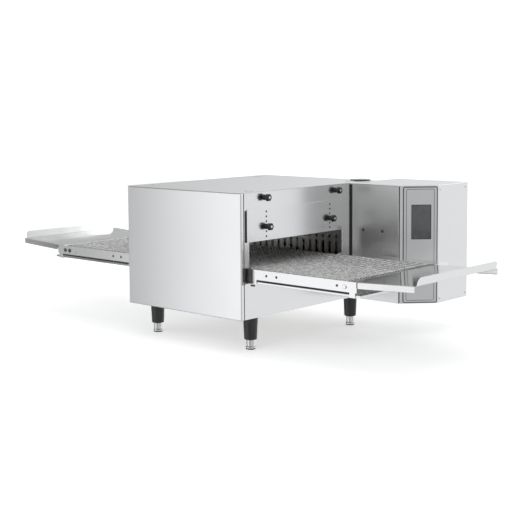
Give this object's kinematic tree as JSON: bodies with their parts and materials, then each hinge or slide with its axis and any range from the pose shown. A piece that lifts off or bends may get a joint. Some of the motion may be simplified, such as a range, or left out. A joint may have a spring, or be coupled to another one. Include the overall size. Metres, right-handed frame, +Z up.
{
  "type": "conveyor pizza oven",
  "caption": "Countertop conveyor oven: box cabinet with a wire belt through it, exit tray at each end, height-adjustable baffles, thumbscrews and a side control box.",
  "frame": {"origin": "on the surface that the feet stand on, under the middle of the outer box", "axes": "+X along the conveyor towards the end with the control box, -Y towards the front cover, +Z up"},
  "size_m": [1.696, 0.814, 0.4869],
  "materials": {
    "cover_steel": "brushed stainless steel sheet",
    "panel_steel": "satin stainless steel",
    "baffle_steel": "brushed stainless steel plate",
    "tray_steel": "bright stainless steel sheet",
    "rail_steel": "stainless steel, lightly brushed",
    "foot_steel": "turned stainless steel",
    "inner_steel": "aluminised steel, dull",
    "dark_steel": "dark machined steel",
    "belt_wire": "stainless wire, slightly dulled by heat",
    "knob_black": "glossy black plastic",
    "leg_black": "satin black plastic",
    "fitting_black": "matt black plastic",
    "display_glass": "dark grey display window, unlit",
    "circuit_board": "green circuit board with parts",
    "insulation_wool": "mineral wool"
  },
  "bodies": {
    "cabinet": {"front_cover": "cover_steel", "front_insulation": "insulation_wool", "top_cover": "cover_steel", "bottom_plate": "inner_steel", "back_panel": "cover_steel", "right_end_panel": "cover_steel", "left_end_panel": "cover_steel", "chamber_shell": "inner_steel", "chamber_rear_wall": "inner_steel", "upper_jet_plenum": "inner_steel", "lower_jet_plenum": "inner_steel", "heating_element": "dark_steel", "fan_motor": "dark_steel", "top_vent_cap": "knob_black", "front_left_leg": "leg_black", "front_right_leg": "leg_black", "rear_left_leg": "leg_black", "rear_right_leg": "leg_black", "control_box_shell": "cover_steel", "control_box_lid": "cover_steel", "control_panel_plate": "panel_steel", "display_screen": "display_glass", "control_board": "circuit_board", "gear_motor": "dark_steel", "power_gland": "fitting_black", "cooling_fan_frame": "fitting_black", "front_rail": "rail_steel", "rear_rail": "rail_steel", "left_cross_bar": "inner_steel", "right_cross_bar": "inner_steel", "wire_belt": "belt_wire", "chain_guard": "rail_steel", "drive_chain": "dark_steel", "front_tension_bracket": "rail_steel", "rear_tension_bracket": "rail_steel"},
    "drive_shaft": {"drive_shaft": "inner_steel", "front_drive_sprocket": "dark_steel", "rear_drive_sprocket": "dark_steel"},
    "idler_roller": {"idler_roller": "inner_steel"},
    "motor_sprocket": {"motor_sprocket": "dark_steel"},
    "circulation_fan": {"circulation_fan": "inner_steel"},
    "cooling_fan_rotor": {"cooling_fan_rotor": "fitting_black"},
    "right_baffle": {"right_baffle": "baffle_steel"},
    "right_lower_front_thumbscrew": {"right_lower_front_thumbscrew": "knob_black"},
    "right_lower_rear_thumbscrew": {"right_lower_rear_thumbscrew": "knob_black"},
    "right_upper_front_thumbscrew": {"right_upper_front_thumbscrew": "knob_black"},
    "right_upper_rear_thumbscrew": {"right_upper_rear_thumbscrew": "knob_black"},
    "right_crumb_tray": {"right_crumb_tray": "tray_steel"},
    "right_exit_tray": {"right_exit_tray": "tray_steel"},
    "left_baffle": {"left_baffle": "baffle_steel"},
    "left_lower_front_thumbscrew": {"left_lower_front_thumbscrew": "knob_black"},
    "left_lower_rear_thumbscrew": {"left_lower_rear_thumbscrew": "knob_black"},
    "left_upper_front_thumbscrew": {"left_upper_front_thumbscrew": "knob_black"},
    "left_upper_rear_thumbscrew": {"left_upper_rear_thumbscrew": "knob_black"},
    "left_crumb_tray": {"left_crumb_tray": "tray_steel"},
    "left_exit_tray": {"left_exit_tray": "tray_steel"},
    "front_left_foot": {"front_left_foot": "foot_steel"},
    "front_right_foot": {"front_right_foot": "foot_steel"},
    "rear_left_foot": {"rear_left_foot": "foot_steel"},
    "rear_right_foot": {"rear_right_foot": "foot_steel"}
  },
  "joints": [
    {"name": "drive_shaft_turn", "type": "hinge", "parent": "cabinet", "child": "drive_shaft", "pos_m": [0.61, -0.165, 0.239], "axis": [0, 1, 0], "continuous": true},
    {"name": "idler_roller_turn", "type": "hinge", "parent": "cabinet", "child": "idler_roller", "pos_m": [-0.61, -0.165, 0.239], "axis": [0, 1, 0], "continuous": true},
    {"name": "motor_sprocket_turn", "type": "hinge", "parent": "cabinet", "child": "motor_sprocket", "pos_m": [0.4, 0.065, 0.239], "axis": [0, 1, 0], "continuous": true},
    {"name": "circulation_fan_spin", "type": "hinge", "parent": "cabinet", "child": "circulation_fan", "pos_m": [0, 0.143, 0.291], "axis": [0, 1, 0], "continuous": true},
    {"name": "cooling_fan_spin", "type": "hinge", "parent": "cabinet", "child": "cooling_fan_rotor", "pos_m": [0.4, 0.374, 0.4], "axis": [0, 1, 0], "continuous": true},
    {"name": "right_baffle_slide", "type": "slide", "parent": "cabinet", "child": "right_baffle", "axis": [0, 0, 1], "range_m": [-0.045, 0.015]},
    {"name": "right_lower_front_thumbscrew_turn", "type": "hinge", "parent": "right_baffle", "child": "right_lower_front_thumbscrew", "pos_m": [0.258, -0.296, 0.375], "axis": [1, 0, 0], "continuous": true},
    {"name": "right_lower_rear_thumbscrew_turn", "type": "hinge", "parent": "right_baffle", "child": "right_lower_rear_thumbscrew", "pos_m": [0.258, 0.011, 0.375], "axis": [1, 0, 0], "continuous": true},
    {"name": "right_upper_front_thumbscrew_turn", "type": "hinge", "parent": "cabinet", "child": "right_upper_front_thumbscrew", "pos_m": [0.258, -0.302, 0.463], "axis": [1, 0, 0], "continuous": true},
    {"name": "right_upper_rear_thumbscrew_turn", "type": "hinge", "parent": "cabinet", "child": "right_upper_rear_thumbscrew", "pos_m": [0.258, 0.043, 0.463], "axis": [1, 0, 0], "continuous": true},
    {"name": "right_crumb_tray_slide", "type": "slide", "parent": "cabinet", "child": "right_crumb_tray", "axis": [1, 0, 0], "range_m": [0, 0.36]},
    {"name": "right_exit_tray_tilt", "type": "hinge", "parent": "cabinet", "child": "right_exit_tray", "pos_m": [0.642, -0.165, 0.245], "axis": [0, -1, 0], "range_deg": [0, 60]},
    {"name": "left_baffle_slide", "type": "slide", "parent": "cabinet", "child": "left_baffle", "axis": [0, 0, 1], "range_m": [-0.045, 0.015]},
    {"name": "left_lower_front_thumbscrew_turn", "type": "hinge", "parent": "left_baffle", "child": "left_lower_front_thumbscrew", "pos_m": [-0.258, -0.296, 0.375], "axis": [-1, 0, 0], "continuous": true},
    {"name": "left_lower_rear_thumbscrew_turn", "type": "hinge", "parent": "left_baffle", "child": "left_lower_rear_thumbscrew", "pos_m": [-0.258, 0.011, 0.375], "axis": [-1, 0, 0], "continuous": true},
    {"name": "left_upper_front_thumbscrew_turn", "type": "hinge", "parent": "cabinet", "child": "left_upper_front_thumbscrew", "pos_m": [-0.258, -0.302, 0.463], "axis": [-1, 0, 0], "continuous": true},
    {"name": "left_upper_rear_thumbscrew_turn", "type": "hinge", "parent": "cabinet", "child": "left_upper_rear_thumbscrew", "pos_m": [-0.258, 0.043, 0.463], "axis": [-1, 0, 0], "continuous": true},
    {"name": "left_crumb_tray_slide", "type": "slide", "parent": "cabinet", "child": "left_crumb_tray", "axis": [-1, 0, 0], "range_m": [0, 0.36]},
    {"name": "left_exit_tray_tilt", "type": "hinge", "parent": "cabinet", "child": "left_exit_tray", "pos_m": [-0.642, -0.165, 0.245], "axis": [0, 1, 0], "range_deg": [0, 60]},
    {"name": "front_left_foot_adjust", "type": "slide", "parent": "cabinet", "child": "front_left_foot", "axis": [0, 0, -1], "range_m": [0, 0.02]},
    {"name": "front_right_foot_adjust", "type": "slide", "parent": "cabinet", "child": "front_right_foot", "axis": [0, 0, -1], "range_m": [0, 0.02]},
    {"name": "rear_left_foot_adjust", "type": "slide", "parent": "cabinet", "child": "rear_left_foot", "axis": [0, 0, -1], "range_m": [0, 0.02]},
    {"name": "rear_right_foot_adjust", "type": "slide", "parent": "cabinet", "child": "rear_right_foot", "axis": [0, 0, -1], "range_m": [0, 0.02]}
  ],
  "couplings": [
    {"joint": "idler_roller_turn", "follows": "drive_shaft_turn", "ratio": 1},
    {"joint": "motor_sprocket_turn", "follows": "drive_shaft_turn", "ratio": 1}
  ]
}
